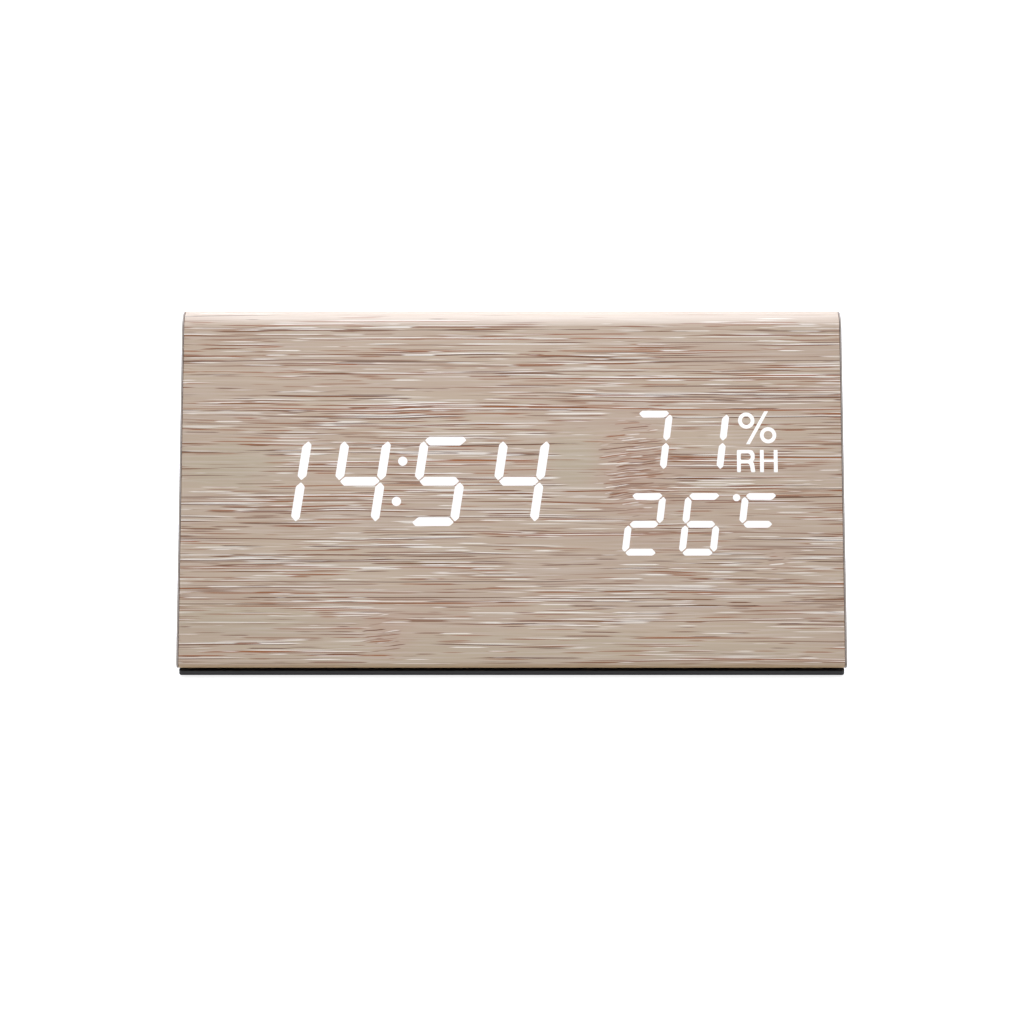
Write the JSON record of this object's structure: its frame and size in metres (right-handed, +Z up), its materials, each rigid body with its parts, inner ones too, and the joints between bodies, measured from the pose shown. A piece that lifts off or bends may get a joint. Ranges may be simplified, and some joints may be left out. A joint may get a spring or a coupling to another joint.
{
  "type": "wooden digital alarm clock",
  "caption": "Triangular bamboo-veneered desk clock: white segment display behind the sloping face, black base with battery door, rear panel with push buttons.",
  "frame": {"origin": "under the middle of the clock, on the plane that its feet stand on", "axes": "+X to the clock's right as seen from the front, along its length; +Y from the display to the rear panel; +Z up"},
  "size_m": [0.15, 0.075, 0.075],
  "materials": {
    "bamboo_veneer": "fine horizontal bamboo grain under a satin lacquer",
    "fibreboard": "raw medium-density fibreboard",
    "black_plastic": "moulded ABS with a fine spark-eroded texture",
    "button_rubber": "matt moulded rubber",
    "foot_rubber": "foam rubber pad",
    "segment_light": "diffusing acrylic lit from behind",
    "circuit_white": "white solder mask",
    "circuit_green": "green solder mask",
    "chip_black": "moulded epoxy",
    "bright_metal": "nickel-plated steel",
    "screw_steel": "zinc-plated steel",
    "cell_jacket": null,
    "lead_red": "PVC insulation",
    "lead_black": "PVC insulation",
    "ribbon_grey": "flat PVC ribbon"
  },
  "bodies": {
    "root": {"veneer_wrap": "bamboo_veneer", "end_veneer_left": "bamboo_veneer", "end_veneer_right": "bamboo_veneer", "front_board": "fibreboard", "rear_board": "fibreboard", "end_board_left": "fibreboard", "end_board_right": "fibreboard", "corner_block_front_left": "fibreboard", "corner_block_front_right": "fibreboard", "corner_block_rear_left": "fibreboard", "corner_block_rear_right": "fibreboard", "base_plate": "black_plastic", "base_screw_front_left": "screw_steel", "base_screw_front_right": "screw_steel", "base_screw_rear_left": "screw_steel", "base_screw_rear_right": "screw_steel", "foot_front_left": "foot_rubber", "foot_front_right": "foot_rubber", "foot_rear_left": "foot_rubber", "foot_rear_right": "foot_rubber", "battery_cell_1": "cell_jacket", "battery_cell_2": "cell_jacket", "battery_cell_3": "cell_jacket", "negative_contact": "bright_metal", "positive_contact": "bright_metal", "bridge_contact_left": "bright_metal", "bridge_contact_right": "bright_metal", "segment_frame": "black_plastic", "light_guide": "segment_light", "display_board": "circuit_white", "display_screw_1": "screw_steel", "display_screw_2": "screw_steel", "display_screw_3": "screw_steel", "display_screw_4": "screw_steel", "ribbon_header_display": "chip_black", "rear_panel": "black_plastic", "switch_set": "bright_metal", "switch_up": "bright_metal", "switch_down": "bright_metal", "usb_socket": "bright_metal", "microphone": "bright_metal", "humidity_sensor": "chip_black", "main_board": "circuit_green", "microcontroller": "chip_black", "crystal": "bright_metal", "buzzer": "chip_black", "ribbon_header_main": "chip_black", "board_screw_1": "screw_steel", "board_screw_2": "screw_steel", "ribbon_cable": "ribbon_grey", "battery_lead_red": "lead_red", "battery_lead_black": "lead_black"},
    "door": {"battery_door": "black_plastic"},
    "set_button": {"button_set": "button_rubber", "plunger_set": "chip_black"},
    "up_button": {"button_up": "button_rubber", "plunger_up": "chip_black"},
    "down_button": {"button_down": "button_rubber", "plunger_down": "chip_black"}
  },
  "joints": [
    {"name": "door_hinge", "type": "hinge", "parent": "root", "child": "door", "pos_m": [0, 0.01725, 0.001], "axis": [1, 0, 0], "range_deg": [0, 100]},
    {"name": "set_press", "type": "slide", "parent": "root", "child": "set_button", "axis": [0, -0.8986, -0.4388], "range_m": [0, 0.0005], "stiffness_N_per_m": 800},
    {"name": "up_press", "type": "slide", "parent": "root", "child": "up_button", "axis": [0, -0.8986, -0.4388], "range_m": [0, 0.0005], "stiffness_N_per_m": 800},
    {"name": "down_press", "type": "slide", "parent": "root", "child": "down_button", "axis": [0, -0.8986, -0.4388], "range_m": [0, 0.0005], "stiffness_N_per_m": 800}
  ]
}
